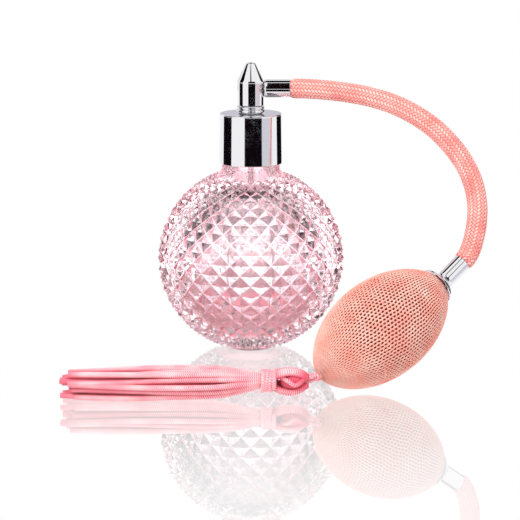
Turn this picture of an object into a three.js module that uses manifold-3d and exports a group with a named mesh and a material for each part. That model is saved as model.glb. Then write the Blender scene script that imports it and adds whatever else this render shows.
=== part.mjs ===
// Perfume atomiser: a cut-glass ball bottle with a screw-on spray head, a braided air hose,
// a knitted squeeze bulb and a cord tassel. Millimetres, +Z up. The origin is the middle of the
// bottle's base, and the hose leaves the spray tower towards +X.
import * as THREE from 'three';
import { mergeVertices } from 'three/addons/utils/BufferGeometryUtils.js';
import Module from 'manifold-3d';

const wasm = await Module();
wasm.setup();

// ---- Driving dimensions -------------------------------------------------------------------
const GAP = 0.3;                     // clearance between pieces that touch on the real object

const BALL = { radius: 38.7, z: 37.5, relief: 1.7, columns: 28, rowStep: 6.4, lastRow: 67 };
const CAVITY = { radius: 30.0, floor: 8.5, bore: 7.8 };
const NECK = { ringRadius: 11.9, foot: 75.0, ringTop: 77.0, radius: 10.4, top: 90.0 };

const COLLAR = {
  bottom: 77.5, top: 98.1, bottomRadius: 13.05, topRadius: 12.75, wall: 0.65, hole: 4.95,
};
const INSERT = { bottom: 78.1, top: 93.6, outer: 12.0, inner: 10.8 };
const GASKET = { bottom: 90.3, top: 91.7, outer: 10.3, inner: 7.6 };
const STEM = {
  flangeBottom: 92.0, flangeTop: 93.3, flange: 10.3, plug: 7.2, plugBottom: 84.0, pin: 4.5, top: 100.8,
};
const DIP = { outer: 1.5, inner: 0.9, bottom: 11.0, top: 99.0 };

const TOWER = {
  bottom: 101.4, radius: 5.33, shoulder: 111.2, top: 118.8, tip: 1.9, bore: 4.2, boreTop: 112.6,
};
const BEADS = { bottom: 98.4, inner: 4.85, low: 5.95, high: 5.7 };
const AIR_Z = 108.1;                 // height of the spray orifice and of the air inlet

const FERRULE = { radius: 3.72, length: 10.2, bore: 3.3, start: 5.8, round: 1.2 };
const BARB = { outer: 1.7, inner: 0.9 };
const HOSE_RADIUS = 4.0;

const BULB = {
  top: [74.7, -50.5, 38.4], tail: [25.8, -82.5, 9.1], radius: 19.1, power: 0.62, net: 0.6, rubber: 1.6,
};
const BULB_FERRULE = { base: [75.9, -49.7, 39.1], hole: 2.6, direction: [0.68, 0.44, 0.585] };

const TASSEL = {
  headX: 16.3, y: -82.0, headZ: 7.3, headRadius: 5.7, bindingFrom: 3.4, bindingTo: 10.2, bindingRadius: 4.1,
};
const SKIRT = { from: 3.1, to: -70.0, z: 6.75, radius: 6.6, spread: 1.3 };

// The hose's centre line, from the spray head's ferrule to the bulb's ferrule.
const HOSE_ROUTE = [
  [16.4, 0, 108.1], [21.3, -0.2, 108.1], [26.6, -0.8, 107.9], [31.5, -1.7, 107.6],
  [36.3, -2.8, 107.2], [41.2, -4.1, 106.6], [46, -5.5, 105.9], [50.8, -7.1, 104.9],
  [55.6, -8.8, 103.6], [60.3, -10.7, 101.9], [65, -12.7, 99.7], [69.8, -14.7, 96.9],
  [74.5, -17, 93.5], [78.7, -19.5, 89.5], [82.2, -22, 85.5], [84.9, -24.3, 81.7],
  [87, -26.7, 77.7], [88.6, -29.2, 73.4], [89.5, -31.8, 69], [89.8, -34.4, 64.6],
  [89.4, -37, 60.3], [88.6, -39.3, 56.1], [87.2, -41.7, 51.4], [85.2, -43.7, 47.3],
  [83.1, -45.05, 45.3],
];

// ---- Colours ------------------------------------------------------------------------------
const finish = (color, roughness, metalness) => () =>
  new THREE.MeshStandardMaterial({ color, roughness, metalness });
const glass = finish(0xf2b9c6, 0.05, 0);
const chrome = finish(0xd9dadd, 0.08, 1);
const braid = finish(0xf49a92, 0.75, 0);
const knit = finish(0xf79a86, 0.8, 0);
const cordPink = finish(0xf7a3ad, 0.7, 0);
const rubber = finish(0xe7a08f, 0.7, 0);
const blackRubber = finish(0x2a2a2c, 0.7, 0);
const plastic = finish(0xf1f1ee, 0.45, 0);
const clearPlastic = finish(0xf0e9ea, 0.2, 0);
const brass = finish(0xc7a45a, 0.3, 1);
const steel = finish(0xb9bcc0, 0.25, 1);

// ---- Shape helpers ------------------------------------------------------------------------
const object = new THREE.Group();

function piece(name, geometry, material, parent = object) {
  const mesh = new THREE.Mesh(geometry, material());
  mesh.name = name;
  parent.add(mesh);
  return mesh;
}

// A solid of revolution about +Z from [radius, z] points that run anticlockwise.
function revolve(points, segments) {
  const profile = points.map(([r, z]) => new THREE.Vector2(r, z));
  return new THREE.LatheGeometry(profile, segments).rotateX(Math.PI / 2);
}

// A closed ring: the profile returns to its first point.
function ring(points, segments) {
  return revolve([...points, points[0]], segments);
}

function tubeWall(inner, outer, bottom, top, segments) {
  return ring([[inner, bottom], [outer, bottom], [outer, top], [inner, top]], segments);
}

function toSolid(geometry) {
  const bare = geometry.clone();
  bare.deleteAttribute('normal');
  bare.deleteAttribute('uv');
  const merged = mergeVertices(bare, 1e-5);
  return new wasm.Manifold(new wasm.Mesh({
    numProp: 3,
    vertProperties: new Float32Array(merged.attributes.position.array),
    triVerts: new Uint32Array(merged.index.array),
  }));
}

function toGeometry(solid) {
  const mesh = solid.getMesh();
  const geometry = new THREE.BufferGeometry();
  geometry.setAttribute('position', new THREE.BufferAttribute(mesh.vertProperties, 3));
  geometry.setIndex(new THREE.BufferAttribute(mesh.triVerts, 1));
  return geometry;
}

function cut(geometry, ...tools) {
  const solid = tools.reduce((rest, tool) => rest.subtract(toSolid(tool)), toSolid(geometry));
  return toGeometry(solid);
}

// A cylinder along X, from one x to another, at the air passage's height.
function drillX(radius, from, to) {
  const drill = new THREE.CylinderGeometry(radius, radius, Math.abs(to - from), 20);
  return drill.rotateZ(Math.PI / 2).translate((from + to) / 2, 0, AIR_Z);
}

// A group whose +Z runs along a direction, standing at a point.
function along(point, direction, parent = object) {
  const group = new THREE.Group();
  const target = new THREE.Vector3(...direction).normalize();
  group.quaternion.setFromUnitVectors(new THREE.Vector3(0, 0, 1), target);
  group.position.set(...point);
  parent.add(group);
  return group;
}

// ---- Bottle: a ball cut with staggered pyramids --------------------------------------------
// Every ring holds pyramid tips and groove crossings in turn, and each next ring is shifted by
// one, so four faces meet at every tip.
function latticeLatitudes() {
  const upper = [];
  for (let latitude = 0; latitude < BALL.lastRow;) {
    upper.push(latitude);
    latitude += BALL.rowStep * Math.pow(Math.cos(THREE.MathUtils.degToRad(latitude)), 0.6);
  }
  upper.push(BALL.lastRow);
  const lower = upper.slice(1).map((latitude) => -latitude).reverse();
  return [...lower, ...upper];
}

function cutBall() {
  const points = BALL.columns * 2;
  const latitudes = latticeLatitudes();
  const last = latitudes.length - 1;
  const rings = [{ r: 9.4, z: 0 }];
  latitudes.forEach((degrees, row) => {
    rings.push({ latitude: THREE.MathUtils.degToRad(degrees), plain: row === 0 || row === last });
  });
  rings.push({ r: NECK.ringRadius, z: NECK.foot });

  const vertices = [];
  rings.forEach((entry, row) => {
    for (let i = 0; i < points; i += 1) {
      const angle = (i * 2 * Math.PI) / points;
      const isTip = entry.latitude !== undefined && !entry.plain && (i + row) % 2 === 0;
      const ball = BALL.radius - (isTip ? 0 : BALL.relief);
      const r = entry.r ?? ball * Math.cos(entry.latitude);
      const z = entry.z ?? BALL.z + ball * Math.sin(entry.latitude);
      vertices.push(r * Math.cos(angle), r * Math.sin(angle), z);
    }
  });
  const baseCentre = vertices.length / 3;
  vertices.push(0, 0, 0);
  const topCentre = baseCentre + 1;
  vertices.push(0, 0, NECK.foot);

  const index = [];
  for (let row = 0; row < rings.length - 1; row += 1) {
    for (let i = 0; i < points; i += 1) {
      const next = (i + 1) % points;
      const [a, b] = [row * points + i, row * points + next];
      const [c, d] = [a + points, b + points];
      if ((i + row) % 2 === 0) index.push(a, b, c, b, d, c);
      else index.push(a, b, d, a, d, c);
    }
  }
  const topRing = (rings.length - 1) * points;
  for (let i = 0; i < points; i += 1) {
    const next = (i + 1) % points;
    index.push(baseCentre, next, i);
    index.push(topCentre, topRing + i, topRing + next);
  }
  const geometry = new THREE.BufferGeometry();
  geometry.setAttribute('position', new THREE.Float32BufferAttribute(vertices, 3));
  geometry.setIndex(index);
  return geometry;
}

function bottleCavity() {
  const profile = [[0, CAVITY.floor], [9, CAVITY.floor + 0.4]];
  for (let degrees = -60; degrees <= 70; degrees += 13) {
    const latitude = THREE.MathUtils.degToRad(degrees);
    profile.push([CAVITY.radius * Math.cos(latitude), BALL.z + CAVITY.radius * Math.sin(latitude)]);
  }
  profile.push([CAVITY.bore, 68.5], [CAVITY.bore, NECK.top + 2], [0, NECK.top + 2]);
  return revolve(profile, 28);
}

piece('glass_bottle', cut(cutBall(), bottleCavity()), glass);

// The neck with its shoulder ring, kept apart from the ball by the usual clearance.
piece('bottle_neck', ring([
  [CAVITY.bore, NECK.foot + GAP], [NECK.ringRadius, NECK.foot + GAP], [NECK.ringRadius, NECK.ringTop],
  [NECK.radius, NECK.ringTop], [NECK.radius, NECK.top - 0.5], [NECK.radius - 0.5, NECK.top],
  [CAVITY.bore, NECK.top],
], 32), glass);

// ---- Screw collar --------------------------------------------------------------------------
function collarShell() {
  const { bottom, top, bottomRadius, topRadius, wall, hole } = COLLAR;
  return ring([
    [bottomRadius - wall, bottom + 0.2], [bottomRadius - 0.4, bottom], [bottomRadius, bottom + 0.5],
    [topRadius, top - 0.5], [topRadius - 0.5, top], [hole, top], [hole, top - wall],
    [topRadius - wall, top - wall],
  ], 48);
}
piece('collar_shell', collarShell(), chrome);
piece('collar_thread_insert', tubeWall(INSERT.inner, INSERT.outer, INSERT.bottom, INSERT.top, 32), plastic);
piece('sealing_gasket', tubeWall(GASKET.inner, GASKET.outer, GASKET.bottom, GASKET.top, 32), blackRubber);

// ---- Stem and dip tube -----------------------------------------------------------------------
function stem() {
  const bore = DIP.outer + GAP;
  return ring([
    [bore, STEM.plugBottom], [STEM.plug - 0.6, STEM.plugBottom], [STEM.plug, STEM.plugBottom + 0.8],
    [STEM.plug, STEM.flangeBottom], [STEM.flange, STEM.flangeBottom], [STEM.flange, STEM.flangeTop],
    [STEM.pin, STEM.flangeTop + 0.8], [STEM.pin, STEM.top], [bore, STEM.top],
  ], 28);
}
piece('spray_stem', stem(), plastic);
piece('dip_tube', tubeWall(DIP.inner, DIP.outer, DIP.bottom, DIP.top, 16), clearPlastic);

// ---- Spray tower -----------------------------------------------------------------------------
function towerShell() {
  const shell = revolve([
    [0, TOWER.boreTop], [TOWER.bore - 1.2, TOWER.boreTop], [TOWER.bore, TOWER.boreTop - 1.2],
    [TOWER.bore, TOWER.bottom], [TOWER.radius, TOWER.bottom], [TOWER.radius, TOWER.shoulder],
    [TOWER.tip, TOWER.top - 0.5], [TOWER.tip - 0.6, TOWER.top], [0, TOWER.top],
  ], 40);
  return cut(shell, drillX(BARB.outer + GAP, 3, 7), drillX(1.4, -7, -3));
}
function sprayCore() {
  const core = ring([
    [DIP.inner, TOWER.bottom + 0.2], [TOWER.bore - GAP, TOWER.bottom + 0.2], [TOWER.bore - GAP, 110.8],
    [DIP.inner, 110.8],
  ], 24);
  return cut(core, drillX(0.7, -5, 5));
}
function swivelRing() {
  const { bottom, inner, low, high } = BEADS;
  return ring([
    [inner, bottom], [low - 0.45, bottom], [low, bottom + 0.45], [low, bottom + 0.95],
    [low - 0.6, bottom + 1.4], [high - 0.35, bottom + 1.55], [high, bottom + 1.9],
    [high, bottom + 2.35], [high - 0.5, bottom + 2.7], [inner, bottom + 2.7],
  ], 32);
}
piece('tower_shell', towerShell(), chrome);
piece('swivel_ring', swivelRing(), chrome);
piece('spray_core', sprayCore(), plastic);

const nozzle = along([-5.25, 0, AIR_Z], [1, 0, 0]);
piece('nozzle_orifice', tubeWall(0.3, 1.1, 0, 1.0, 16), brass, nozzle);

// ---- Air inlet on the tower ------------------------------------------------------------------
function ferrule(neck) {
  const { radius, length, bore, round } = FERRULE;
  return ring([
    [neck, 0], [radius - round, 0], [radius - 0.35, 0.35], [radius, round], [radius, length],
    [bore, length], [bore, 1.2], [neck, 1.2],
  ], 32);
}
const inlet = along([FERRULE.start, 0, AIR_Z], [1, 0, 0]);
piece('head_ferrule', ferrule(BARB.outer + GAP), chrome, inlet);
const inletBarb = along([TOWER.bore + 0.1, 0, AIR_Z], [1, 0, 0]);
piece('head_barb', tubeWall(BARB.inner, BARB.outer, 0, 11, 16), brass, inletBarb);

// ---- Hose: one plain round tube ----------------------------------------------------------------
function hose() {
  const path = new THREE.CatmullRomCurve3(HOSE_ROUTE.map((point) => new THREE.Vector3(...point)));
  const section = new THREE.Shape().absarc(0, 0, HOSE_RADIUS, 0, 2 * Math.PI);
  return new THREE.ExtrudeGeometry(section, { steps: 32, curveSegments: 6, extrudePath: path });
}
piece('hose', hose(), braid);

// ---- Squeeze bulb ------------------------------------------------------------------------------
// In the bulb's own frame +Z runs up its axis towards the hose, and z = 0 is its top end.
const bulbTop = new THREE.Vector3(...BULB.top);
const bulbAxis = bulbTop.clone().sub(new THREE.Vector3(...BULB.tail));
const BULB_LENGTH = bulbAxis.length();
const bulb = along(BULB.top, bulbAxis.toArray());

// The radius of an egg of the bulb's shape, set inwards all over by a wall's depth.
function eggRadius(z, depth) {
  const half = BULB_LENGTH / 2 - depth;
  const t = (z + BULB_LENGTH / 2) / half;
  return (BULB.radius - depth) * Math.pow(Math.max(0, 1 - t * t), BULB.power);
}

// A hollow egg, open by a hole at each end.
function eggShell(depth, wall, topHole, tailHole) {
  const outside = [];
  const inside = [];
  const steps = 12;
  const half = BULB_LENGTH / 2 - depth - 1.2;
  for (let i = 0; i <= steps; i += 1) {
    const z = -BULB_LENGTH / 2 - half * Math.cos((Math.PI * i) / steps);
    const smallest = i < steps / 2 ? tailHole : topHole;
    outside.push([Math.max(smallest + wall, eggRadius(z, depth)), z]);
    inside.push([Math.max(smallest, eggRadius(z, depth) - wall), z]);
  }
  return ring([...outside, ...inside.reverse()], 24);
}
piece('knitted_bulb_cover', eggShell(0, BULB.net, 2.9, 2.3), knit, bulb);
piece('rubber_bulb', eggShell(BULB.net + GAP, BULB.rubber, 2.2, 2.0), rubber, bulb);

const saucer = [
  [2.5, -0.05], [4.5, -1.0], [6, -2.0], [7.3, -3.05], [7.5, -2.75], [6.2, -1.2], [4.6, -0.1], [2.5, 0.75],
];
piece('bulb_saucer', ring(saucer, 32), chrome, bulb);
const valveTube = ring([
  [0.6, -9], [1.9, -9], [1.9, 4.6], [1.2, 4.6], [1.2, -6.4], [0.6, -7.2],
], 16);
piece('outlet_valve_tube', valveTube, brass, bulb);
const outletBall = piece('outlet_valve_ball', new THREE.SphereGeometry(0.85, 16, 10), steel, bulb);
outletBall.position.z = -5.2;

piece('inlet_valve_plug', tubeWall(0.6, 1.6, -64.2, -59.2, 16), brass, bulb);
const flap = new THREE.CylinderGeometry(1.5, 1.5, 0.5, 20).rotateX(Math.PI / 2);
piece('inlet_valve_flap', flap, blackRubber, bulb).position.z = -58.6;

const hoseEnd = along(BULB_FERRULE.base, BULB_FERRULE.direction);
piece('bulb_ferrule', ferrule(BULB_FERRULE.hole), chrome, hoseEnd);

// ---- Tassel --------------------------------------------------------------------------------------
// The tassel's own frame has +Z along the object's +X, from the cord ends towards the bulb.
const tassel = along([0, TASSEL.y, 0], [1, 0, 0]);

function tailKnot() {
  return revolve([[0, -66.9], [1.4, -66.5], [1.9, -65.6], [1.5, -64.8], [0, -64.5]], 16);
}
piece('cover_tail_knot', tailKnot(), cordPink, bulb);

function hangingLoop() {
  const path = new THREE.CatmullRomCurve3([
    new THREE.Vector3(23.6, -82.6, 8.6),
    new THREE.Vector3(23.0, -82.3, 8.2),
    new THREE.Vector3(22.4, -82.0, 7.9),
  ]);
  const section = new THREE.Shape().absarc(0, 0, 0.9, 0, 2 * Math.PI);
  return new THREE.ExtrudeGeometry(section, { steps: 4, curveSegments: 4, extrudePath: path });
}
piece('hanging_loop', hangingLoop(), cordPink);

function roundHead() {
  const profile = [];
  for (let i = 0; i <= 10; i += 1) {
    const angle = -Math.PI / 2 + (Math.PI * i) / 10;
    const radius = i === 0 || i === 10 ? 0 : TASSEL.headRadius * Math.cos(angle);
    profile.push([radius, TASSEL.headRadius * Math.sin(angle)]);
  }
  return revolve(profile, 24);
}
const headGroup = along([TASSEL.headX, TASSEL.y, TASSEL.headZ], [1, 0, 0]);
piece('tassel_head', roundHead(), cordPink, headGroup);

const bindingGroup = along([0, TASSEL.y, TASSEL.headZ], [1, 0, 0]);
const binding = revolve([
  [0, TASSEL.bindingFrom], [TASSEL.bindingRadius, TASSEL.bindingFrom],
  [TASSEL.bindingRadius, TASSEL.bindingTo], [0, TASSEL.bindingTo],
], 24);
piece('tassel_binding', binding, cordPink, bindingGroup);

function skirt() {
  const { from, to, radius } = SKIRT;
  const shape = revolve([
    [0, to], [radius * 0.8, to], [radius * 0.98, to + 12], [radius, -35], [radius, -14],
    [radius * 0.82, -5], [radius * 0.58, from], [0, from],
  ], 24);
  return shape.scale(1, SKIRT.spread, 1);
}
const skirtGroup = new THREE.Group();
skirtGroup.position.z = SKIRT.z;
skirtGroup.quaternion.copy(tassel.quaternion);
skirtGroup.position.y = TASSEL.y;
object.add(skirtGroup);
piece('tassel_skirt', skirt(), cordPink, skirtGroup);

export default object;
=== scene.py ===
import math

import bmesh
import bpy
import numpy as np
from mathutils import Matrix, Vector


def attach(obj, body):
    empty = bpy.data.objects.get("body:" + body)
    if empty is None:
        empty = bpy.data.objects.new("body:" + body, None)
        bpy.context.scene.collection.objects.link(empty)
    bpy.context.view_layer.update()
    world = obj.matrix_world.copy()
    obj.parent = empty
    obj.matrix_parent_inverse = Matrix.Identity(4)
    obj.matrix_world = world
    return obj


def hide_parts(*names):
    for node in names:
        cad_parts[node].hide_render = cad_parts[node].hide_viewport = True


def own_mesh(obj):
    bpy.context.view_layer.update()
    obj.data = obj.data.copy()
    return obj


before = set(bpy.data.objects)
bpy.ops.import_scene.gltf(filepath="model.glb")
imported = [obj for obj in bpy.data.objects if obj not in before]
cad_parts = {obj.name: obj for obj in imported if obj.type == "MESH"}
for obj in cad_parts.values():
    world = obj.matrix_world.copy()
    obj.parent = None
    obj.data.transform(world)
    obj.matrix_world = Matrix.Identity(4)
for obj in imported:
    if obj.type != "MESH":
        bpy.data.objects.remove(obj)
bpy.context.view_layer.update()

MM = 0.001
TAU = 2 * math.pi


# ---- Camera -------------------------------------------------------------------------------------
def make_camera():
    target = Vector((3.79, 0, 36.5)) * MM
    elevation = math.radians(12)
    distance = 0.8
    data = bpy.data.cameras.new("camera")
    data.sensor_width = 36
    data.lens = 133.1
    data.clip_start = 0.05
    camera = bpy.data.objects.new("camera", data)
    camera.location = target + distance * Vector((0, -math.cos(elevation), math.sin(elevation)))
    camera.rotation_euler = (math.radians(90) - elevation, 0, 0)
    bpy.context.scene.collection.objects.link(camera)
    bpy.context.scene.camera = camera


make_camera()
bpy.context.scene.view_settings.view_transform = "Standard"


# ---- Sizes of the tassel, along X, that its materials and its shapes share -----------------------------
TASSEL = {"y": -82.0, "z": 7.3, "binding": (3.4, 10.2), "wrap": 3.55, "head": 16.3, "radius": 5.7}
STRAND_RADIUS = 1.05
SKIRT = {"root": 4.0, "end": -66.0, "z": 6.75, "half_z": 5.5, "half_y": 7.4}


# ---- Shader helpers -----------------------------------------------------------------------------
def paint(code):
    """A linear colour from six hexadecimal digits."""
    channels = [int(code[i:i + 2], 16) / 255 for i in (0, 2, 4)]
    linear = [c / 12.92 if c <= 0.04045 else ((c + 0.055) / 1.055) ** 2.4 for c in channels]
    return (*linear, 1.0)


class Shader:
    """A node tree with short calls: add() makes a node and links or sets its inputs."""

    def __init__(self, owner):
        owner.use_nodes = True
        self.tree = owner.node_tree
        self.tree.nodes.clear()

    def put(self, socket, value):
        if isinstance(value, bpy.types.NodeSocket):
            self.tree.links.new(value, socket)
        else:
            socket.default_value = value

    def add(self, kind, inputs=None, output=0, **settings):
        node = self.tree.nodes.new("ShaderNode" + kind)
        for name, value in settings.items():
            setattr(node, name, value)
        for key, value in (inputs or {}).items():
            self.put(node.inputs[key], value)
        return node.outputs[output]

    def math(self, operation, a, b=0.0, c=0.0):
        return self.add("Math", {0: a, 1: b, 2: c}, operation=operation)

    def smooth(self, value, low, high, start=0.0, end=1.0):
        inputs = {0: value, 1: low, 2: high, 3: start, 4: end}
        return self.add("MapRange", inputs, interpolation_type="SMOOTHSTEP")

    def ramp(self, value, *stops):
        """A colour ramp from (position, colour) pairs."""
        output = self.add("ValToRGB", {0: value})
        elements = output.node.color_ramp.elements
        while len(elements) < len(stops):
            elements.new(0.5)
        for element, (position, colour) in zip(elements, stops):
            element.position = position
            element.color = colour
        return output

    def mix(self, factor, a, b, blend="MIX"):
        node = self.add("Mix", None, data_type="RGBA", blend_type=blend).node
        self.put(node.inputs["Factor"], factor)
        self.put(node.inputs[6], a)
        self.put(node.inputs[7], b)
        return node.outputs[2]

    def noise(self, scale, detail=3.0, vector=None, roughness=0.5):
        inputs = {"Scale": scale, "Detail": detail, "Roughness": roughness}
        if vector is not None:
            inputs["Vector"] = vector
        return self.add("TexNoise", inputs)

    def where(self):
        """The surface point in metres, the same for every piece."""
        return self.add("TexCoord", output="Object")

    def uv(self):
        """The counts along and around a piece, as two numbers."""
        vector = self.add("UVMap", uv_map="UVMap")
        split = self.add("SeparateXYZ", {0: vector})
        return split, split.node.outputs[1]

    def bump(self, height, distance, strength=1.0):
        return self.add("Bump", {"Height": height, "Distance": distance, "Strength": strength})

    def finish(self, surface):
        node = self.tree.nodes.new("ShaderNodeOutputMaterial")
        self.tree.links.new(surface, node.inputs["Surface"])


def new_material(name):
    made = bpy.data.materials.new(name)
    return made, Shader(made)


# ---- Materials ----------------------------------------------------------------------------------
def make_glass(name, clear, edge, roughness):
    """Glass with a thin pink lacquer, which looks deeper where it is seen at a slant."""
    made, s = new_material(name)
    ripple = s.noise(90.0, 2.0, s.where())
    slant = s.add("LayerWeight", {"Blend": 0.5}, output=1)
    surface = s.add("BsdfPrincipled", {
        "Base Color": s.mix(s.smooth(slant, 0.15, 0.9), clear, edge),
        "Roughness": roughness,
        "IOR": 1.5,
        "Transmission Weight": 1.0,
        "Normal": s.bump(ripple, 0.25 * MM, 0.3),
    })
    s.finish(surface)
    return made


def make_chrome():
    made, s = new_material("chrome")
    smear = s.noise(220.0, 4.0, s.where())
    roughness = s.add("MapRange", {0: smear, 1: 0.35, 2: 0.7, 3: 0.03, 4: 0.09})
    surface = s.add("BsdfPrincipled", {
        "Base Color": (0.86, 0.86, 0.89, 1.0),
        "Metallic": 1.0,
        "Roughness": roughness,
        "Normal": s.bump(smear, 0.01 * MM, 0.2),
    })
    s.finish(surface)
    return made


def make_metal(name, colour, roughness):
    """Turned brass or steel: small tarnish clouds."""
    made, s = new_material(name)
    clouds = s.noise(500.0, 3.0, s.where())
    dark = tuple(0.72 * c for c in colour[:3]) + (1.0,)
    worn = s.add("MapRange", {0: clouds, 3: roughness * 0.7, 4: roughness * 1.5})
    surface = s.add("BsdfPrincipled", {
        "Base Color": s.mix(s.smooth(clouds, 0.4, 0.65), dark, colour),
        "Metallic": 1.0,
        "Roughness": worn,
        "Normal": s.bump(clouds, 0.02 * MM, 0.3),
    })
    s.finish(surface)
    return made


def make_plastic(name, colour, roughness, transmission=0.0):
    """Moulded plastic: faint orange peel and flow marks."""
    made, s = new_material(name)
    peel = s.noise(900.0, 2.0, s.where())
    flow = s.noise(60.0, 3.0, s.where())
    shade = tuple(0.9 * c for c in colour[:3]) + (1.0,)
    surface = s.add("BsdfPrincipled", {
        "Base Color": s.mix(s.smooth(flow, 0.35, 0.7), shade, colour),
        "Roughness": s.add("MapRange", {0: peel, 3: roughness * 0.8, 4: roughness * 1.3}),
        "Transmission Weight": transmission,
        "IOR": 1.45,
        "Normal": s.bump(peel, 0.02 * MM, 0.35),
    })
    s.finish(surface)
    return made


def make_rubber(name, colour, shade):
    made, s = new_material(name)
    grain = s.noise(700.0, 4.0, s.where())
    bloom = s.noise(50.0, 3.0, s.where())
    surface = s.add("BsdfPrincipled", {
        "Base Color": s.mix(s.smooth(bloom, 0.3, 0.7), shade, colour),
        "Roughness": s.add("MapRange", {0: grain, 3: 0.6, 4: 0.85}),
        "Normal": s.bump(grain, 0.05 * MM, 0.5),
    })
    s.finish(surface)
    return made


def make_yarn(name, deep_shade, body, highlight, twist, plies, contrast, braided=False, painted_shade=None):
    """Twisted yarn, or a braid of chevrons, with fine filaments that slant across each strand, painted from
    the shadow colour in the twist's grooves to the highlight colour on its crests.
    The bundle's painted shade, if given, tells how far in a bundle a point lies, and turns the colour to
    the shadow colour there."""
    made, s = new_material(name)
    along, around = s.uv()
    if braided:
        fold = s.math("ABSOLUTE", s.math("SUBTRACT", s.math("FRACT", around), 0.5))
        around = s.math("MULTIPLY", fold, 2.0)
    slant = s.math("ADD", s.math("MULTIPLY", along, twist), s.math("MULTIPLY", around, plies))
    filament = s.math("SINE", s.math("MULTIPLY", slant, TAU))
    clouds = s.noise(130.0, 3.0, s.where())
    tone = s.math("ADD", s.math("MULTIPLY", filament, contrast), s.math("MULTIPLY", clouds, 0.9))
    # painted shade and painted highlight: the ramp runs from the shadow colour in the grooves to the
    # highlight colour on the crests
    colour = s.ramp(tone, (0.12, deep_shade), (0.42, body), (0.85, highlight))
    # painted shade inside a bundle and where a strand dives under the others
    if painted_shade is not None:
        colour = s.mix(painted_shade(s), colour, deep_shade)
    surface = s.add("BsdfPrincipled", {
        "Base Color": colour,
        "Roughness": s.add("MapRange", {0: clouds, 3: 0.42, 4: 0.62}),
        "Sheen Weight": 0.3,
        "Sheen Roughness": 0.4,
        "Specular IOR Level": 0.35,
        "Normal": s.bump(filament, 0.08 * MM, 0.8),
    })
    s.finish(surface)
    return made


def bundle_depth(s, z, half_y, half_z):
    """Where a point lies along an oval bundle of cords, and how far out: 0 in its middle, 1 outside."""
    split = s.add("SeparateXYZ", {0: s.where()})
    x, point_y, point_z = split, split.node.outputs[1], split.node.outputs[2]
    across = s.math("DIVIDE", s.math("SUBTRACT", point_y, TASSEL["y"] * MM), half_y * MM)
    up = s.math("DIVIDE", s.math("SUBTRACT", point_z, z * MM), half_z * MM)
    reach = s.math("SQRT", s.math("ADD", s.math("MULTIPLY", across, across), s.math("MULTIPLY", up, up)))
    return x, reach


def skirt_shade_and_ends(s):
    """Painted shade: strands inside the bundle are painted deeper in colour, and the bundle is narrow at
    the binding. The cut ends are deeper in colour too.
    """
    x, reach = bundle_depth(s, SKIRT["z"], SKIRT["half_y"], SKIRT["half_z"])
    wide = s.smooth(x, -16 * MM, 4 * MM, 1.0, 0.42)
    # painted shade on the strands inside the bundle
    inside = s.smooth(s.math("DIVIDE", reach, wide), 0.76, 1.04, 0.85, 0.0)
    ends = s.smooth(x, -70 * MM, -62 * MM, 0.75, 0.0)
    return s.math("MAXIMUM", inside, ends)


def knot_shade(s):
    """Painted shade: the looped cords of the head are painted deeper in colour inside the knot."""
    # painted shade towards the middle of the knot
    reach = bundle_depth(s, TASSEL["z"], TASSEL["radius"], TASSEL["radius"])[1]
    return s.smooth(reach, 0.6, 0.95, 0.9, 0.0)


def braid_shade(s):
    """Painted shade: each flat strand is painted deeper in colour towards its edges and where it dives
    under the others.
    Half of the strands, those with the lower count around, are deeper all over."""
    along, around = s.uv()
    deeper = s.math("LESS_THAN", around, 1.5)
    middle = s.math("ABSOLUTE", s.math("SUBTRACT", s.math("FRACT", around), 0.58))
    over = s.math("COSINE", s.math("MULTIPLY", along, TAU))
    edge = s.smooth(middle, 0.06, 0.2, 0.0, 0.85)
    # painted shade at the strand's edges and where it dives under the others
    edge_and_under_shade = s.math("MAXIMUM", edge, s.smooth(over, 0.0, 0.85, 0.9, 0.0))
    return s.math("MAXIMUM", edge_and_under_shade, s.math("MULTIPLY", deeper, 0.35))


FACET_GLASS = make_glass("pink_glass", (1.0, 0.84, 0.89, 1.0), (0.86, 0.12, 0.22, 1.0), 0.02)
GROOVE_GLASS = make_glass("groove_glass", (1.0, 0.88, 0.92, 1.0), (1.0, 0.6, 0.68, 1.0), 0.12)
INNER_GLASS = make_glass("inner_glass", (1.0, 0.95, 0.97, 1.0), (0.95, 0.5, 0.6, 1.0), 0.2)
CHROME = make_chrome()
BRASS = make_metal("brass", paint("c9a65c"), 0.28)
STEEL = make_metal("valve_steel", paint("b9bcc0"), 0.22)
WHITE_PLASTIC = make_plastic("white_plastic", paint("f1f1ee"), 0.4)
CLEAR_PLASTIC = make_plastic("clear_plastic", paint("f5f0f1"), 0.12, 0.85)
BLACK_RUBBER = make_rubber("black_rubber", paint("2a2a2c"), paint("1c1c1f"))
# Painted shade: the rubber under the net is coloured darker than the bulb's salmon, partly its own tone and
# partly the shade in the net's holes.
SHADED_BULB_RUBBER = make_rubber("bulb_rubber", paint("b25a4b"), paint("8e4438"))
# Painted shade and painted highlight: each yarn's first colour is its shadow tone and its last its
# highlight; the braid's last colour is partly its pale pink threads.
BRAID = make_yarn(
    "hose_braid", paint("e8645f"), paint("ffbdb2"), paint("ffe4da"), 7.5, 2.0, 0.15, painted_shade=braid_shade,
)
KNIT = make_yarn("bulb_knit", paint("f9826e"), paint("ffaa98"), paint("ffdfd0"), 2.2, 2.0, 0.22)
CORD_BODY, CORD_HIGHLIGHT = paint("fda6ae"), paint("ffdcdd")
CORD_TWIST, CORD_PLIES, CORD_CONTRAST = 1.25, 0.7, 0.3
CORD_WEAVE = (CORD_BODY, CORD_HIGHLIGHT, CORD_TWIST, CORD_PLIES, CORD_CONTRAST, True)
TASSEL_CORD = make_yarn("tassel_cord", paint("e6647a"), *CORD_WEAVE)
SKIRT_CORD = make_yarn("skirt_cord", paint("e6647a"), *CORD_WEAVE, skirt_shade_and_ends)
KNOT_CORD = make_yarn("knot_cord", paint("de4c66"), *CORD_WEAVE, knot_shade)


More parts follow.
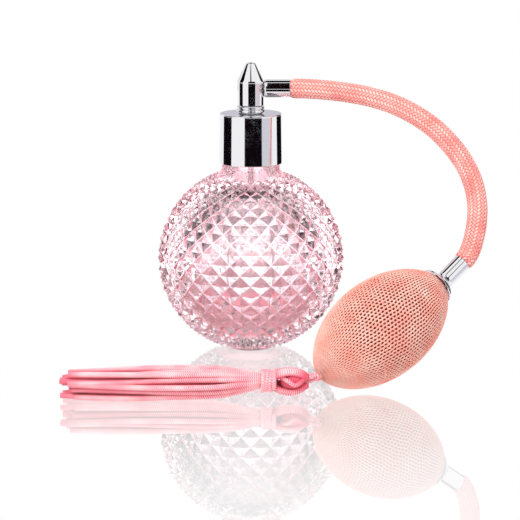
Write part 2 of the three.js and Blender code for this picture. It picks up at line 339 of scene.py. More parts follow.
# ---- Stage: white surround with dark flags, glossy white floor, reflectors and a lamp --------------------
def make_world():
    """White all round, with dark patches that only chrome and glass see, as black studio flags are. The
    floor's perfectly sharp mirror doesn't see them."""
    world = bpy.data.worlds.new("studio")
    bpy.context.scene.world = world
    s = Shader(world)
    split = s.add("SeparateXYZ", {0: s.add("TexCoord", output="Generated")})
    x, y, z = split, split.node.outputs[1], split.node.outputs[2]
    azimuth = s.math("ARCTAN2", x, s.math("MULTIPLY", y, -1.0))
    elevation = s.math("ARCSINE", z)

    def flag(az_from, az_to, el_from, el_to, soft=2.0):
        edges = [math.radians(v) for v in (az_from, az_to, el_from, el_to)]
        blur = math.radians(soft)
        parts = [
            s.smooth(azimuth, edges[0] - blur, edges[0] + blur),
            s.smooth(azimuth, edges[1] - blur, edges[1] + blur, 1.0, 0.0),
            s.smooth(elevation, edges[2] - blur, edges[2] + blur),
            s.smooth(elevation, edges[3] - blur, edges[3] + blur, 1.0, 0.0),
        ]
        shade = parts[0]
        for part in parts[1:]:
            shade = s.math("MULTIPLY", shade, part)
        return shade

    def together(patches):
        dark = patches[0]
        for patch in patches[1:]:
            dark = s.math("MAXIMUM", dark, patch)
        return dark

    mirrored = together([
        flag(-22, 41, -95, 34), flag(-5, 9, 30, 82), flag(-117, -74, -95, 55), flag(110, 150, -95, 55),
        flag(-185, -100, 55, 95), flag(100, 185, 55, 95),
    ])
    through = together([flag(80, 150, -25, 55, 4.0), flag(-160, -80, -25, 55, 4.0)])
    light_path = s.tree.nodes.new("ShaderNodeLightPath").outputs
    in_glass = s.math("GREATER_THAN", light_path["Transmission Depth"], 0.5)
    hidden = s.math("MAXIMUM", in_glass, light_path["Is Singular Ray"])
    in_mirror = s.math("MULTIPLY", light_path["Is Glossy Ray"], s.math("SUBTRACT", 1.0, hidden))
    shade = s.math("ADD", s.math("MULTIPLY", mirrored, in_mirror), s.math("MULTIPLY", through, in_glass))
    colour = s.mix(shade, (1.0, 1.0, 1.0, 1.0), (0.006, 0.001, 0.002, 1.0))
    strength = s.math("MULTIPLY_ADD", in_glass, 0.15, 1.0)
    background = s.add("Background", {"Color": colour, "Strength": strength})
    output = s.tree.nodes.new("ShaderNodeOutputWorld")
    s.tree.links.new(background, output.inputs["Surface"])


def make_floor():
    """A white floor with a faint, sharp mirror that fades outwards. Seen through the cut glass it is
    painted pink near the bottle, a painted glow standing in for the pink glass's tinted illumination, and
    brighter farther out."""
    mesh = bpy.data.meshes.new("floor")
    half = 12.0
    corners = [(-half, -half, 0), (half, -half, 0), (half, half, 0), (-half, half, 0)]
    mesh.from_pydata(corners, [], [(0, 1, 2, 3)])
    floor = bpy.data.objects.new("floor", mesh)
    bpy.context.scene.collection.objects.link(floor)
    made, s = new_material("floor")
    light_path = s.tree.nodes.new("ShaderNodeLightPath").outputs
    in_glass = s.math("GREATER_THAN", light_path["Transmission Depth"], 0.5)
    glow = s.math("MULTIPLY_ADD", light_path["Is Diffuse Ray"], 0.7, 1.0)
    away = s.add("VectorMath", {0: s.where()}, output=1, operation="LENGTH")
    lit = s.math("MULTIPLY", in_glass, s.smooth(away, 0.08, 0.19, 0.2, 2.5))
    # painted pink glow near the bottle, seen only through the glass
    pink_glow = s.math("MULTIPLY", in_glass, s.smooth(away, 0.05, 0.13, 0.7, 0.0))
    colour = s.mix(pink_glow, (1.0, 1.0, 1.0, 1.0), (0.9, 0.16, 0.22, 1.0))
    white = s.add("Emission", {"Color": colour, "Strength": s.math("ADD", glow, lit)})
    gloss = s.add("BsdfGlossy", {"Color": (1.0, 1.0, 1.0, 1.0), "Roughness": 0.0})
    mirror = s.smooth(away, 0.1, 0.21, 0.42, 0.18)
    s.finish(s.add("MixShader", {0: mirror, 1: white, 2: gloss}))
    mesh.materials.append(made)


def make_card(name, points, faces, shade):
    """A flat reflector that only chrome sees: not the camera, the glass or the floor's sharp mirror."""
    mesh = bpy.data.meshes.new(name)
    mesh.from_pydata(points, [], faces)
    card = bpy.data.objects.new(name, mesh)
    card.visible_camera = False
    card.visible_diffuse = False
    card.visible_transmission = False
    card.visible_shadow = False
    bpy.context.scene.collection.objects.link(card)
    made, s = new_material(name)
    light_path = s.tree.nodes.new("ShaderNodeLightPath").outputs
    in_glass = s.math("GREATER_THAN", light_path["Transmission Depth"], 0.5)
    hidden = s.math("MAXIMUM", in_glass, light_path["Is Singular Ray"])
    shine = s.add("Emission", {"Color": (*shade, 1.0), "Strength": 1.0})
    s.finish(s.add("MixShader", {0: hidden, 1: shine, 2: s.add("BsdfTransparent")}))
    mesh.materials.append(made)


def make_floor_sector(name, az_from, az_to, shade, inner=0.17, outer=1.2):
    """A flat sector on the floor round the object."""
    steps = 16
    points = []
    for i in range(steps + 1):
        azimuth = math.radians(az_from + (az_to - az_from) * i / steps)
        for radius in (inner, outer):
            points.append((radius * math.sin(azimuth), -radius * math.cos(azimuth), 0.4 * MM))
    make_card(name, points, [(2 * i, 2 * i + 1, 2 * i + 3, 2 * i + 2) for i in range(steps)], shade)


def make_lamp(name, azimuth, elevation, distance, size, power):
    a, e = math.radians(azimuth), math.radians(elevation)
    toward = Vector((math.sin(a) * math.cos(e), -math.cos(a) * math.cos(e), math.sin(e)))
    data = bpy.data.lights.new(name, "AREA")
    data.size = size
    data.energy = power
    lamp = bpy.data.objects.new(name, data)
    lamp.location = toward * distance
    lamp.rotation_euler = toward.to_track_quat("Z", "Y").to_euler()
    lamp.visible_camera = False
    lamp.visible_glossy = False
    lamp.visible_transmission = False
    bpy.context.scene.collection.objects.link(lamp)


make_world()
make_floor()
BLACK = (0.004, 0.002, 0.003)
make_floor_sector("flag_front", -22, 41, BLACK)
make_floor_sector("flag_left", -117, -74, BLACK)
make_floor_sector("flag_right", 110, 150, BLACK)
make_floor_sector("grey_right", 41, 84, (0.7, 0.69, 0.73))
BACK_CARD = [(-40, 45, 101), (40, 45, 101), (40, 45, 140), (-40, 45, 140)]
make_card("card_back", [tuple(v * MM for v in p) for p in BACK_CARD], [(0, 1, 2, 3)], (0.62, 0.6, 0.66))
make_lamp("key_left", -38, 52, 1.0, 0.35, 6.5)


# ---- Mesh helpers -------------------------------------------------------------------------------
class Shape:
    """Collects grids of points into one mesh, with a UV map that counts along and around."""

    def __init__(self):
        self.points, self.quads, self.uvs, self.caps = [], [], [], []
        self.count = 0

    def grid(self, rows, u, v, loop=False, cap=False):
        """Joins n rows of m points, each row a closed ring. u has a value per row, one more with loop;
        v has m + 1 values. cap closes the first and last rows with a flat face."""
        rows = np.asarray(rows, float)
        n, m = rows.shape[:2]
        i = np.arange(n if loop else n - 1)[:, None] + np.zeros((1, m), int)
        j = np.arange(m)[None, :] + np.zeros((len(i), 1), int)
        after, beside = (i + 1) % n, (j + 1) % m
        base = self.count
        quads = np.stack([i * m + j, i * m + beside, after * m + beside, after * m + j], -1)
        self.quads.append(quads.reshape(-1, 4) + base)
        u, v = np.asarray(u, float), np.asarray(v, float)
        us = np.stack([u[i], u[i], u[i + 1], u[i + 1]], -1)
        vs = np.stack([v[j], v[j + 1], v[j + 1], v[j]], -1)
        self.uvs.append(np.stack([us, vs], -1).reshape(-1, 2))
        if cap:
            self.caps.append(list(range(base + m - 1, base - 1, -1)))
            self.caps.append(list(range(base + (n - 1) * m, base + n * m)))
        self.points.append(rows.reshape(-1, 3))
        self.count += n * m

    def tube(
        self, line, radius, sides=8, loop=False, cap=True, relief=None, turns=1.0, flat=1.0, normals=None,
    ):
        """A tube along a line. relief(u, angle) adds height, and flat squeezes it along the normals."""
        line = np.asarray(line, float)
        tangent, normal, side = frames(line, loop)
        if normals is not None:
            normal = normals - tangent * np.sum(tangent * normals, axis=1)[:, None]
            normal = normal / np.linalg.norm(normal, axis=1)[:, None]
            side = np.cross(tangent, normal)
        angle = np.arange(sides) * TAU / sides
        step = np.linalg.norm(np.diff(line, axis=0), axis=1)
        u = np.concatenate([[0], np.cumsum(step)]) / MM
        r = np.broadcast_to(np.asarray(radius, float), (len(line),))[:, None]
        if relief is not None:
            r = r + relief(u[:, None], angle[None, :])
        offset = (r * np.cos(angle) * flat)[..., None] * normal[:, None]
        offset = offset + (r * np.sin(angle))[..., None] * side[:, None]
        if loop:
            u = np.append(u, u[-1] + np.linalg.norm(line[0] - line[-1]) / MM)
        v = np.arange(sides + 1) / sides * turns
        self.grid(line[:, None] + offset, u, v, loop=loop, cap=cap and not loop)

    def build(self, name, material, smooth=True):
        quads = np.concatenate(self.quads)
        mesh = bpy.data.meshes.new(name)
        points = np.concatenate(self.points)
        mesh.from_pydata(points.tolist(), [], quads.tolist() + self.caps)
        layer = mesh.uv_layers.new(name="UVMap")
        cap_corners = sum(len(c) for c in self.caps)
        uvs = np.concatenate([*self.uvs, np.zeros((cap_corners, 2))])
        layer.data.foreach_set("uv", uvs.ravel())
        mesh.materials.append(material)
        mesh.polygons.foreach_set("use_smooth", [smooth] * len(mesh.polygons))
        mesh.update()
        piece = bpy.data.objects.new(name, mesh)
        bpy.context.scene.collection.objects.link(piece)
        return piece


def frames(line, loop=False):
    """Unit tangents, normals and side vectors that turn as little as they can along a line."""
    if loop:
        tangent = np.roll(line, -1, axis=0) - np.roll(line, 1, axis=0)
    else:
        tangent = np.gradient(line, axis=0)
    tangent = tangent / np.linalg.norm(tangent, axis=1)[:, None]
    start = np.array([0.0, 0.0, 1.0]) if abs(tangent[0][2]) < 0.9 else np.array([1.0, 0.0, 0.0])
    normal = np.zeros_like(line)
    current = start
    for i, t in enumerate(tangent):
        current = current - t * (current @ t)
        current = current / np.linalg.norm(current)
        normal[i] = current
    return tangent, normal, np.cross(tangent, normal)


def smooth_line(points, step):
    """A smooth curve through points, as a line with even steps."""
    points = np.asarray(points, float)
    padded = np.vstack([2 * points[0] - points[1], points, 2 * points[-1] - points[-2]])
    fine = []
    for i in range(len(points) - 1):
        a, b, c, d = padded[i:i + 4]
        for t in np.linspace(0, 1, 16, endpoint=False):
            fine.append(0.5 * (2 * b + (c - a) * t + (2 * a - 5 * b + 4 * c - d) * t * t
                               + (3 * b - a - 3 * c + d) * t ** 3))
    fine.append(points[-1])
    return even_line(np.array(fine), step)


def even_line(line, step):
    length = np.concatenate([[0], np.cumsum(np.linalg.norm(np.diff(line, axis=0), axis=1))])
    at = np.linspace(0, length[-1], max(2, round(length[-1] / step) + 1))
    return np.stack([np.interp(at, length, line[:, k]) for k in range(3)], axis=1)


def line_length(line):
    return float(np.linalg.norm(np.diff(line, axis=0), axis=1).sum())


def rounded(corners, steps=5):
    """A profile from (radius, height, fillet) corners in millimetres, with each fillet as an arc and a
    short straight run beside it, which keeps the shading of the long faces flat."""
    count = len(corners)
    points = []
    for i, (r, z, fillet) in enumerate(corners):
        here = np.array([r, z], float)
        if fillet <= 0:
            points.append(here)
            continue
        before = np.array(corners[i - 1][:2], float) - here
        after = np.array(corners[(i + 1) % count][:2], float) - here
        before, after = before / np.linalg.norm(before), after / np.linalg.norm(after)
        lead = fillet * 1.3
        points.append(here + before * lead)
        for k in range(steps + 1):
            t = k / steps
            points.append(here + before * fillet * (1 - t) ** 2 + after * fillet * t ** 2)
        points.append(here + after * lead)
    return np.array(points) * MM


def lathe(shape, profile, place, segments=96, loop=True, cap=False):
    """Turns a profile about the local +Z of a placement matrix."""
    angle = np.arange(segments) * TAU / segments
    rows = np.stack([
        profile[:, 0, None] * np.cos(angle),
        profile[:, 0, None] * np.sin(angle),
        profile[:, 1, None] + 0 * angle,
    ], -1)
    turned = rows @ np.array(place.to_3x3()).T + np.array(place.translation)
    count = len(profile) + (1 if loop else 0)
    shape.grid(turned, np.arange(count), np.arange(segments + 1), loop=loop, cap=cap)


def placement(point, direction):
    """A matrix that stands the local +Z along a direction at a point in millimetres."""
    turn = Vector((0, 0, 1)).rotation_difference(Vector(direction).normalized())
    return Matrix.Translation(Vector(point) * MM) @ turn.to_matrix().to_4x4()


def turned_piece(name, profile, place, material, segments=96, loop=True, cap=False):
    shape = Shape()
    lathe(shape, profile, place, segments, loop, cap)
    return shape.build(name, material)


def settle(piece, body, slot, *nodes):
    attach(piece, body)
    if nodes:
        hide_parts(*nodes)
    return piece


UPRIGHT = Matrix.Identity(4)

# ---- Hose: an inner tube under a herringbone braid --------------------------------------------------
HOSE_ROUTE = [
    (16.4, 0, 108.1), (21.3, -0.2, 108.1), (26.6, -0.8, 107.9), (31.5, -1.7, 107.6),
    (36.3, -2.8, 107.2), (41.2, -4.1, 106.6), (46, -5.5, 105.9), (50.8, -7.1, 104.9),
    (55.6, -8.8, 103.6), (60.3, -10.7, 101.9), (65, -12.7, 99.7), (69.8, -14.7, 96.9),
    (74.5, -17, 93.5), (78.7, -19.5, 89.5), (82.2, -22, 85.5), (84.9, -24.3, 81.7),
    (87, -26.7, 77.7), (88.6, -29.2, 73.4), (89.5, -31.8, 69), (89.8, -34.4, 64.6),
    (89.4, -37, 60.3), (88.6, -39.3, 56.1), (87.2, -41.7, 51.4), (85.2, -43.7, 47.3),
    (83.1, -45.05, 45.3),
]
HOSE_RADIUS = 4.0 * MM
HOSE_STRANDS = 16          # strands each way round
HOSE_PITCH = 24.0 * MM     # one full turn of a strand
HOSE_TUCK = 1.6 * MM       # the ends narrow over this length, into the ferrules
HOSE_WALL = 0.5 * MM       # from the braid's outside to the tube under it
BRAID_HALF_WIDTH = 0.62 * MM
BRAID_HALF_THICK = 0.2 * MM
BRAID_MIDDLE = 0.28 * MM   # mean depth of a strand's middle under the outside
BRAID_WEAVE = 0.17 * MM    # how far a strand rises over and dives under the others


def make_hose():
    route = smooth_line(np.array(HOSE_ROUTE) * MM, 0.33 * MM)
    length = line_length(route)
    along = np.linspace(0, length, len(route))
    tangent, normal, side = frames(route)
    tuck = np.minimum(1.0, np.minimum(along, length - along) / HOSE_TUCK)
    radius = HOSE_RADIUS * (0.86 + 0.14 * np.sqrt(tuck))
    shape = Shape()
    shape.tube(route, radius - HOSE_WALL, sides=24)
    crossings = 2 * HOSE_STRANDS * along / HOSE_PITCH
    section = np.arange(6) * TAU / 6
    for hand in (1, -1):
        for strand in range(HOSE_STRANDS):
            angle = TAU * (strand / HOSE_STRANDS + hand * along / HOSE_PITCH)
            phase = crossings + 2 * strand if hand > 0 else 2 * strand - crossings
            over = hand * np.cos(math.pi * (phase - 0.5) / 2)
            outward = np.cos(angle)[:, None] * normal + np.sin(angle)[:, None] * side
            cycle = (phase - 0.5) / 4 + (0.0 if hand > 0 else 0.5)
            weave = BRAID_WEAVE * np.tanh(1.6 * over)
            centre = route + outward * (radius - BRAID_MIDDLE + weave)[:, None]
            run = np.gradient(centre, axis=0)
            run = run / np.linalg.norm(run, axis=1)[:, None]
            across = np.cross(outward, run)
            offset = (BRAID_HALF_WIDTH * np.cos(section))[None, :, None] * across[:, None]
            offset = offset + (BRAID_HALF_THICK * np.sin(section))[None, :, None] * outward[:, None]
            rows = (centre[:, None] + offset)[:, ::-1]
            shape.grid(rows, cycle, np.arange(7) / 6 + (2.0 if hand > 0 else 0.0), cap=True)
    piece = settle(shape.build("hose_sleeve", BRAID), "head", "hose_braid", "hose")


make_hose()

# ---- Tassel ---------------------------------------------------------------------------------------
def cord_relief(u, angle):
    """Small chevrons, as on a round braid of satin thread."""
    fold = np.abs((angle * 3 / TAU) % 1.0 - 0.5) * 2
    return 0.06 * MM * np.sin(TAU * (u * 1.25 + 0.7 * fold))


def strand_places():
    """Staggered rows of strand centres that fill the skirt's oval section, as (y, z) in millimetres."""
    places = []
    pitch = 2.25
    for row in range(-2, 3):
        for column in range(-3, 4):
            y = (column + 0.5 * (row % 2)) * pitch
            z = row * pitch * 0.95
            if (y / SKIRT["half_y"]) ** 2 + (z / SKIRT["half_z"]) ** 2 <= 1.0:
                places.append((y, z))
    return places


def make_skirt(with_pieces):
    places = strand_places()
    random = np.random.default_rng(7)
    for number, (y, z) in enumerate(places):
        spread = random.uniform(-1, 1, 6)
        reach = math.hypot(y / SKIRT["half_y"], z / SKIRT["half_z"])
        root = np.array([SKIRT["root"], TASSEL["y"] + 0.32 * y, TASSEL["z"] + 0.36 * z])
        end = SKIRT["end"] + 4.5 * spread[0] - 1.0
        points = [root]
        for share in np.linspace(0.06, 1.0, 13):
            x = SKIRT["root"] + (end - SKIRT["root"]) * share
            open_up = 0.36 + 0.64 * min(1.0, share / 0.24) ** 0.75
            sway = 1.1 * math.sin(4.0 * share + 3 * spread[1]) * share
            lift = 0.8 * math.sin(4.6 * share + 3 * spread[2]) * share
            droop = 1.1 * max(0.0, share - 0.55) * (1 if z > 0 else 0.2)
            height = SKIRT["z"] + z * open_up + lift - droop * (1 + reach)
            drop = (TASSEL["z"] - SKIRT["z"]) * max(0.0, 1 - share / 0.24)
            points.append([x, TASSEL["y"] + y * open_up + sway, max(1.15, height + drop)])
        line = smooth_line(np.array(points) * MM, 0.42 * MM)
        shape = Shape()
        far = np.linspace(0, 1, len(line))
        radius = STRAND_RADIUS * MM * (0.86 + 0.14 * np.minimum(1.0, far / 0.12))
        shape.tube(line, radius, sides=12, relief=cord_relief, turns=3)
        piece = shape.build(f"tassel_strand_{number:02d}", SKIRT_CORD)
        settle(piece, "tassel", "tassel_cord", "tassel_skirt")


def make_binding():
    first, last = TASSEL["binding"]
    turns = 3.7
    t = np.linspace(0, 1, 260)
    angle = TAU * turns * t - 0.6
    radius = TASSEL["wrap"] + 0.16 * np.sin(5 * angle) + 0.2 * np.sin(0.37 * angle)
    line = np.stack([
        first + 0.8 + (last - first - 1.6) * t + 0.5 * np.sin(angle + 0.4) + 0.12 * np.sin(2.3 * angle),
        TASSEL["y"] + radius * np.cos(angle),
        TASSEL["z"] + radius * np.sin(angle),
    ], 1) * MM
    shape = Shape()
    shape.tube(even_line(line, 0.4 * MM), 0.84 * MM, sides=12, relief=cord_relief, turns=3)
    return settle(shape.build("tassel_whipping", TASSEL_CORD), "tassel", "tassel_cord", "tassel_binding")


def make_head():
    """Cords arch over and under a solid in the middle, painted dark as shade for the gaps between them, and
    one crosses the gap between them at the front.
    """
    shape = Shape()
    start, end = TASSEL["binding"][1] - 1.0, TASSEL["head"] + 5.3
    places = (0.1, 0.6, 1.1, 1.55, 2.0, 2.42, 3.82, 4.25, 4.75, 5.25, 5.8)
    for i, place in enumerate(places):
        t = np.linspace(0, 1, 40)
        swell = np.sin(math.pi * np.clip(0.14 + 0.8 * t, 0, 1)) ** 0.7
        radius = 0.5 + 4.15 * swell - 0.35 * (i % 2) * swell
        angle = place + 0.3 * np.sin(math.pi * t) * math.sin(2.1 * i + 1)
        line = np.stack([
            start + (end - start) * t,
            TASSEL["y"] + radius * np.cos(angle),
            TASSEL["z"] + radius * np.sin(angle),
        ], 1) * MM
        shape.tube(even_line(line, 0.4 * MM), STRAND_RADIUS * MM, sides=12, relief=cord_relief, turns=3)
    middle = np.array([TASSEL["head"], TASSEL["y"], TASSEL["z"]])
    crossing = [(-4.6, -2.0, 1.6), (-2.0, -4.0, 0.9), (0.6, -4.2, -0.6), (3.2, -3.0, 0.6), (4.6, -1.2, 1.8)]
    line = smooth_line((np.array(crossing) + middle) * MM, 0.4 * MM)
    shape.tube(line, 0.85 * MM, sides=12, relief=cord_relief, turns=3)
    t = np.linspace(-1, 1, 15)
    # A solid in the middle of the knot, painted dark by the knot's painted shade: a dark thing put where
    # the gaps between the looped cords show only shade.
    shade_core = np.stack([middle[0] + 4.9 * t, middle[1] + 0 * t, middle[2] + 0 * t], 1) * MM
    shape.tube(shade_core, 3.5 * np.sqrt(1.02 - t * t) * MM, sides=20)
    return settle(shape.build("tassel_knot", KNOT_CORD), "tassel", "tassel_cord", "tassel_head")


def make_hanging_loop():
    """Two turns of thin cord that join the head to the bulb's tail."""
    shape = Shape()
    centre = np.array([23.3, TASSEL["y"], 8.3])
    reach = np.array([2.3, -0.2, 0.75])
    for turn, tilt in enumerate((0.5, -0.6)):
        angle = np.linspace(0, TAU, 48, endpoint=False)
        across = np.array([0.0, math.sin(tilt), math.cos(tilt)]) * 1.15
        middle = centre + np.array([0.35 * turn - 0.2, 0.4 - 0.8 * turn, 0.0])
        line = middle + np.cos(angle)[:, None] * reach + np.sin(angle)[:, None] * across
        shape.tube(line * MM, 0.62 * MM, sides=10, loop=True, turns=2)
    return settle(shape.build("tassel_loop", TASSEL_CORD), "head", "tassel_cord", "hanging_loop")


make_skirt([make_binding(), make_head(), make_hanging_loop()])

# ---- Bottle: cut-glass ball -------------------------------------------------------------------------
BALL = {
    "radius": 38.7, "z": 37.5, "foot": 9.4, "relief": 1.7, "columns": 28, "row_step": 6.4, "last_row": 67,
}
CAVITY = {"radius": 30.0, "floor": 8.5, "bore": 7.8, "bore_end": 68.5}
NECK = {"foot": 75.0, "shoulder": 11.9, "shoulder_top": 77.0, "radius": 10.4, "top": 90.0, "rim": 0.5}
AROUND = BALL["columns"] * 2


def lattice_latitudes():
    """Degrees of latitude of the lattice's rows, which draw closer together towards the poles."""
    upper = []
    latitude = 0.0
    while latitude < BALL["last_row"]:
        upper.append(latitude)
        latitude += BALL["row_step"] * math.cos(math.radians(latitude)) ** 0.6
    upper.append(BALL["last_row"])
    return [-v for v in upper[:0:-1]] + upper


def add_ring(bm, places):
    """A ring of vertices about the bottle's axis, from a (radius, height) for each."""
    line = []
    for i, (r, z) in enumerate(places):
        angle = TAU * i / len(places)
        line.append(bm.verts.new(Vector((r * math.cos(angle), r * math.sin(angle), z)) * MM))
    return line


def cut_ring(bm, latitude, row, plain, tips):
    """A ring of the lattice: tips and groove crossings in turn, or only groove crossings if plain."""
    places = []
    for i in range(AROUND):
        tip = not plain and (i + row) % 2 == 0
        ball = BALL["radius"] - (0 if tip else BALL["relief"])
        places.append((ball * math.cos(latitude), BALL["z"] + ball * math.sin(latitude)))
    line = add_ring(bm, places)
    if not plain:
        tips.update(line[row % 2::2])
    return line


def outside_rings(bm, tips):
    """The foot, the cut rows and the neck, from the bottom up, and the numbers of the cut rows."""
    latitudes = [math.radians(v) for v in lattice_latitudes()]
    cut_rows = range(1, len(latitudes) + 1)
    rings = [add_ring(bm, [(BALL["foot"], 0.0)] * AROUND)]
    for row, latitude in zip(cut_rows, latitudes):
        plain = row in (cut_rows[0], cut_rows[-1])
        rings.append(cut_ring(bm, latitude, row, plain, tips))
    rim = NECK["rim"]
    for place in (
        (NECK["shoulder"], NECK["foot"]), (NECK["shoulder"], NECK["shoulder_top"]),
        (NECK["radius"], NECK["shoulder_top"]), (NECK["radius"], NECK["top"] - rim),
        (NECK["radius"] - rim, NECK["top"]),
    ):
        rings.append(add_ring(bm, [place] * AROUND))
    return rings, cut_rows


def join_outside(bm, rings, cut_rows, tips):
    """Faces between the rings; a patch of the lattice is split along its groove. The edges of the
    facets are weighted for the bevel, the ridges less than the grooves."""
    weight = bm.edges.layers.float["bevel_weight_edge"]
    cut_faces = []
    for row, (lower, upper) in enumerate(zip(rings, rings[1:])):
        for i in range(AROUND):
            j = (i + 1) % AROUND
            a, b, c, d = lower[i], lower[j], upper[i], upper[j]
            if not (row in cut_rows and row + 1 in cut_rows):
                bm.faces.new((a, b, d, c)).smooth = row > cut_rows[-1]
            elif (i + row) % 2 == 0:
                cut_faces += [bm.faces.new((a, b, c)), bm.faces.new((b, d, c))]
            else:
                cut_faces += [bm.faces.new((a, b, d)), bm.faces.new((a, d, c))]
    for face in cut_faces:
        for edge in face.edges:
            ridge = edge.verts[0] in tips or edge.verts[1] in tips
            edge[weight] = 0.55 if ridge else 1.0
    bm.faces.new(reversed(rings[0]))


def join_inside(bm, rim):
    """The bore and the cavity, from the neck's rim down to the thick floor."""
    profile = [(CAVITY["bore"], NECK["top"]), (CAVITY["bore"], CAVITY["bore_end"])]
    for degrees in np.linspace(72, -66, 40):
        latitude = math.radians(degrees)
        height = BALL["z"] + CAVITY["radius"] * math.sin(latitude)
        profile.append((CAVITY["radius"] * math.cos(latitude), height))
    profile += [(9.0, CAVITY["floor"] + 0.5), (4.5, CAVITY["floor"] + 0.15)]
    rings = [rim] + [add_ring(bm, [place] * AROUND) for place in profile]
    for upper, lower in zip(rings, rings[1:]):
        for i in range(AROUND):
            j = (i + 1) % AROUND
            face = bm.faces.new((upper[i], upper[j], lower[j], lower[i]))
            face.smooth = upper is not rim
            face.material_index = 1
    bm.faces.new(rings[-1]).material_index = 1


def make_bottle():
    """One closed glass shell, with its facets' edges bevelled by weight into fire-polished grooves."""
    bm = bmesh.new()
    bm.edges.layers.float.new("bevel_weight_edge")
    tips = set()
    rings, cut_rows = outside_rings(bm, tips)
    join_outside(bm, rings, cut_rows, tips)
    join_inside(bm, rings[-1])
    mesh = bpy.data.meshes.new("cut_glass_ball")
    bm.to_mesh(mesh)
    bm.free()
    for material in (FACET_GLASS, INNER_GLASS, GROOVE_GLASS):
        mesh.materials.append(material)
    piece = bpy.data.objects.new("cut_glass_ball", mesh)
    bpy.context.scene.collection.objects.link(piece)
    bevel = piece.modifiers.new("polished_edges", "BEVEL")
    bevel.limit_method = "WEIGHT"
    bevel.width = 0.42 * MM
    bevel.segments = 2
    bevel.material = 2
    settle(piece, "bottle", "pink_glass", "glass_bottle", "bottle_neck")


make_bottle()


# ---- Collar, tower and ferrules: turned chrome ----------------------------------------------------------
COLLAR = {
    "bottom": 77.5, "top": 98.1, "bottom_radius": 13.05, "top_radius": 12.75, "wall": 0.65, "hole": 4.95,
}
TOWER = {
    "bottom": 101.4, "radius": 5.33, "shoulder": 111.2, "top": 118.8, "tip": 1.9, "bore": 4.2,
    "bore_top": 112.6,
}
BEADS = {"bottom": 98.4, "inner": 4.85, "low": 5.95, "high": 5.7}
FERRULE = {"radius": 3.72, "length": 10.2, "bore": 3.3}
AIR_Z = 108.1


def make_collar():
    c = COLLAR
    profile = rounded([
        (c["bottom_radius"] - c["wall"], c["bottom"] + 0.1, 0.05), (c["bottom_radius"], c["bottom"], 0.35),
        (c["top_radius"], c["top"], 0.55), (c["hole"], c["top"], 0.1),
        (c["hole"], c["top"] - c["wall"], 0.05), (c["top_radius"] - c["wall"], c["top"] - c["wall"], 0.1),
    ])
    piece = turned_piece("chrome_collar", profile, UPRIGHT, CHROME, 128)
    settle(piece, "collar", "chrome", "collar_shell")


def make_tower():
    t = TOWER
    profile = rounded([
        (t["bore"] - 1.2, t["bore_top"], 0), (t["bore"], t["bore_top"] - 1.2, 0),
        (t["bore"], t["bottom"], 0), (t["radius"], t["bottom"], 0.15), (t["radius"], t["shoulder"], 0.5),
        (t["tip"], t["top"] - 0.4, 0.3), (t["tip"] - 0.8, t["top"], 0.2), (0.3, t["top"], 0),
    ])
    piece = turned_piece("chrome_tower", profile, UPRIGHT, CHROME, 96, loop=False, cap=True)
    settle(piece, "head", "chrome", "tower_shell")


def make_beads():
    """The swivel ring: two round beads, one over the other."""
    b = BEADS
    points = [(b["inner"], b["bottom"])]
    for middle, reach, radius in ((0.75, 0.75, b["low"]), (2.1, 0.6, b["high"])):
        for k in range(9):
            angle = math.pi * (k / 8 - 0.5)
            height = b["bottom"] + middle + reach * math.sin(angle)
            points.append((radius - reach + reach * math.cos(angle), height))
    points.append((b["inner"], b["bottom"] + 2.7))
    piece = turned_piece("chrome_beads", np.array(points) * MM, UPRIGHT, CHROME, 96)
    settle(piece, "head", "chrome", "swivel_ring")


def make_ferrule(name, place, hole, node, reach):
    """A cup for the hose's end; reach is how far its closed end runs back onto its neighbour."""
    f = FERRULE
    profile = rounded([
        (hole, -reach, 0.1), (f["radius"], -reach, 1.3), (f["radius"], f["length"], 0.12),
        (f["bore"], f["length"], 0.08), (f["bore"], 1.2, 0), (hole, 1.2, 0),
    ], 7)
    settle(turned_piece(name, profile, place, CHROME), "head", "chrome", node)


make_collar()
make_tower()
make_beads()
TOWER_END = placement((5.8, 0, AIR_Z), (1, 0, 0))
BULB_END = placement((75.9, -49.7, 39.1), (0.68, 0.44, 0.585))
make_ferrule("chrome_ferrule_tower", TOWER_END, 2.0, "head_ferrule", 0.55)
make_ferrule("chrome_ferrule_bulb", BULB_END, 2.6, "bulb_ferrule", 1.0)

# ---- Squeeze bulb -----------------------------------------------------------------------------------
BULB_TOP = Vector((74.7, -50.5, 38.4))
BULB_TAIL = Vector((25.8, -82.5, 9.1))
BULB_RADIUS = 19.1
BULB_POWER = 0.62
BULB_AXIS = (BULB_TOP - BULB_TAIL).normalized()
BULB_LENGTH = (BULB_TOP - BULB_TAIL).length
BULB_FRAME = placement(BULB_TOP, BULB_AXIS)
STITCHES = 44         # in each course round the net
COURSE = 1.6          # from one course to the next
YARN_RADIUS = 0.36


def egg(depth, ends, count):
    """Heights and radii down the egg, set inwards by a depth, with even steps along its surface."""
    t = np.sin(np.linspace(-math.pi / 2, math.pi / 2, 600))
    half = BULB_LENGTH / 2 - depth
    height = -BULB_LENGTH / 2 + half * t
    radius = (BULB_RADIUS - depth) * np.maximum(0, 1 - t * t) ** BULB_POWER
    keep = radius >= np.where(t > 0, ends[1], ends[0])
    height, radius = height[keep], radius[keep]
    run = np.concatenate([[0], np.cumsum(np.hypot(np.diff(height), np.diff(radius)))])
    at = np.linspace(0, run[-1], count)
    return np.interp(at, run, height), np.interp(at, run, radius), run[-1]


def make_rubber_bulb():
    height, radius, _ = egg(1.15, (2.2, 2.6), 40)
    inner_height, inner_radius, _ = egg(2.6, (1.9, 2.2), 40)
    profile = np.concatenate([
        np.stack([radius, height], 1), np.stack([inner_radius, inner_height], 1)[::-1],
    ]) * MM
    return turned_piece("inner_bulb", profile, BULB_FRAME, SHADED_BULB_RUBBER, 64)


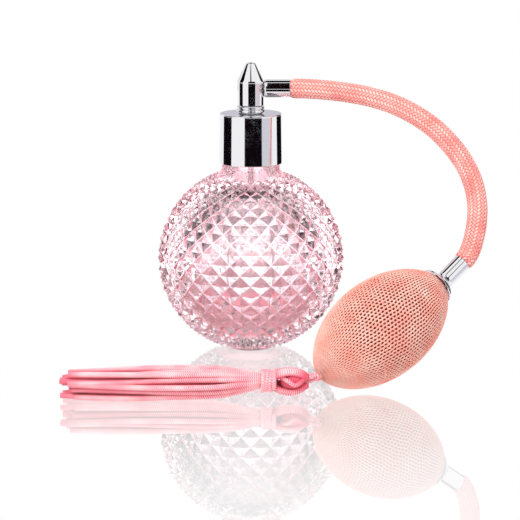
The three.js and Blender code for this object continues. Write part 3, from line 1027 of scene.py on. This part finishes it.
def make_knit():
    """Courses of looped stitches round the egg, each loop hooked through the course before it."""
    _, _, run = egg(YARN_RADIUS, (2.2, 3.2), 400)
    courses = round(run / COURSE)
    height, radius, _ = egg(YARN_RADIUS, (2.2, 3.2), courses)
    slope = np.stack([np.gradient(radius), np.gradient(height)], 1)
    slope = slope / np.linalg.norm(slope, axis=1)[:, None]
    samples = 14
    t = np.arange(STITCHES * samples) / samples
    spacing = run / courses
    shape = Shape()
    turn = np.array(BULB_FRAME.to_3x3())
    origin = np.array(BULB_FRAME.translation)
    for course in range(courses):
        wide = TAU * radius[course] / STITCHES
        yarn = min(YARN_RADIUS, 0.2 * wide)
        loop = t + 0.13 * np.sin(2 * TAU * t)
        rise = 0.78 * spacing * np.cos(TAU * t)
        out = -0.4 * yarn * np.cos(2 * TAU * t)
        wander = 0.06 * np.sin(0.9 * course + 0.37 * t) + 0.05 * np.sin(1.7 * course - 0.23 * t)
        angle = TAU * (loop + wander) / STITCHES
        along, outward = slope[course], np.array([slope[course][1], -slope[course][0]])
        r = radius[course] + rise * along[0] + out * outward[0]
        z = height[course] + rise * along[1] + out * outward[1]
        local = np.stack([r * np.cos(angle), r * np.sin(angle), z], 1) * MM
        outwards = [outward[0] * np.cos(angle), outward[0] * np.sin(angle), 0 * angle + outward[1]]
        normals = np.stack(outwards, 1) @ turn.T
        line = local @ turn.T + origin
        shape.tube(line, yarn * MM, sides=6, loop=True, flat=0.55, normals=normals)
    return shape.build("knit_cover", KNIT)


def make_bulb():
    """The net and the rubber bulb under it, each given a mesh of its own."""
    for piece, slot, node in (
        (make_knit(), "bulb_knit", "knitted_bulb_cover"),
        (make_rubber_bulb(), "bulb_rubber", "rubber_bulb"),
    ):
        settle(piece, "head", slot, node)
        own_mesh(piece)


def make_saucer():
    """The domed washer that closes the net at the bulb's neck."""
    profile = rounded([
        (2.5, -0.05, 0), (4.5, -1.0, 0), (6.0, -2.0, 0), (7.4, -3.15, 0.12), (7.55, -2.75, 0.15),
        (7.0, -1.9, 0), (6.2, -1.15, 0), (4.6, -0.1, 0.6), (3.6, 0.55, 0.2), (2.5, 0.75, 0),
    ])
    settle(turned_piece("chrome_saucer", profile, BULB_FRAME, CHROME), "head", "chrome", "bulb_saucer")


def make_tail_knot():
    """A small overhand knot of thin cord at the end of the net."""
    t = np.linspace(0, TAU, 90, endpoint=False)
    knot = np.stack([np.sin(t) + 2 * np.sin(2 * t), np.cos(t) - 2 * np.cos(2 * t), -np.sin(3 * t)], 1)
    knot = knot * np.array([0.38, 0.38, 0.5]) + np.array([0, 0, -65.7])
    shape = Shape()
    local = knot * MM
    line = local @ np.array(BULB_FRAME.to_3x3()).T + np.array(BULB_FRAME.translation)
    shape.tube(line, 0.55 * MM, sides=10, loop=True, turns=2)
    settle(shape.build("tail_knot", TASSEL_CORD), "head", "tassel_cord", "cover_tail_knot")


make_bulb()
make_saucer()
make_tail_knot()

# ---- CAD nodes that keep their shape ---------------------------------------------------------------------
KEPT = {
    "collar_thread_insert": WHITE_PLASTIC,
    "sealing_gasket": BLACK_RUBBER,
    "spray_stem": WHITE_PLASTIC,
    "dip_tube": CLEAR_PLASTIC,
    "spray_core": WHITE_PLASTIC,
    "nozzle_orifice": BRASS,
    "head_barb": BRASS,
    "outlet_valve_tube": BRASS,
    "outlet_valve_ball": STEEL,
    "inlet_valve_plug": BRASS,
    "inlet_valve_flap": BLACK_RUBBER,
}
for node, finish in KEPT.items():
    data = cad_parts[node].data
    data.materials.clear()
    data.materials.append(finish)
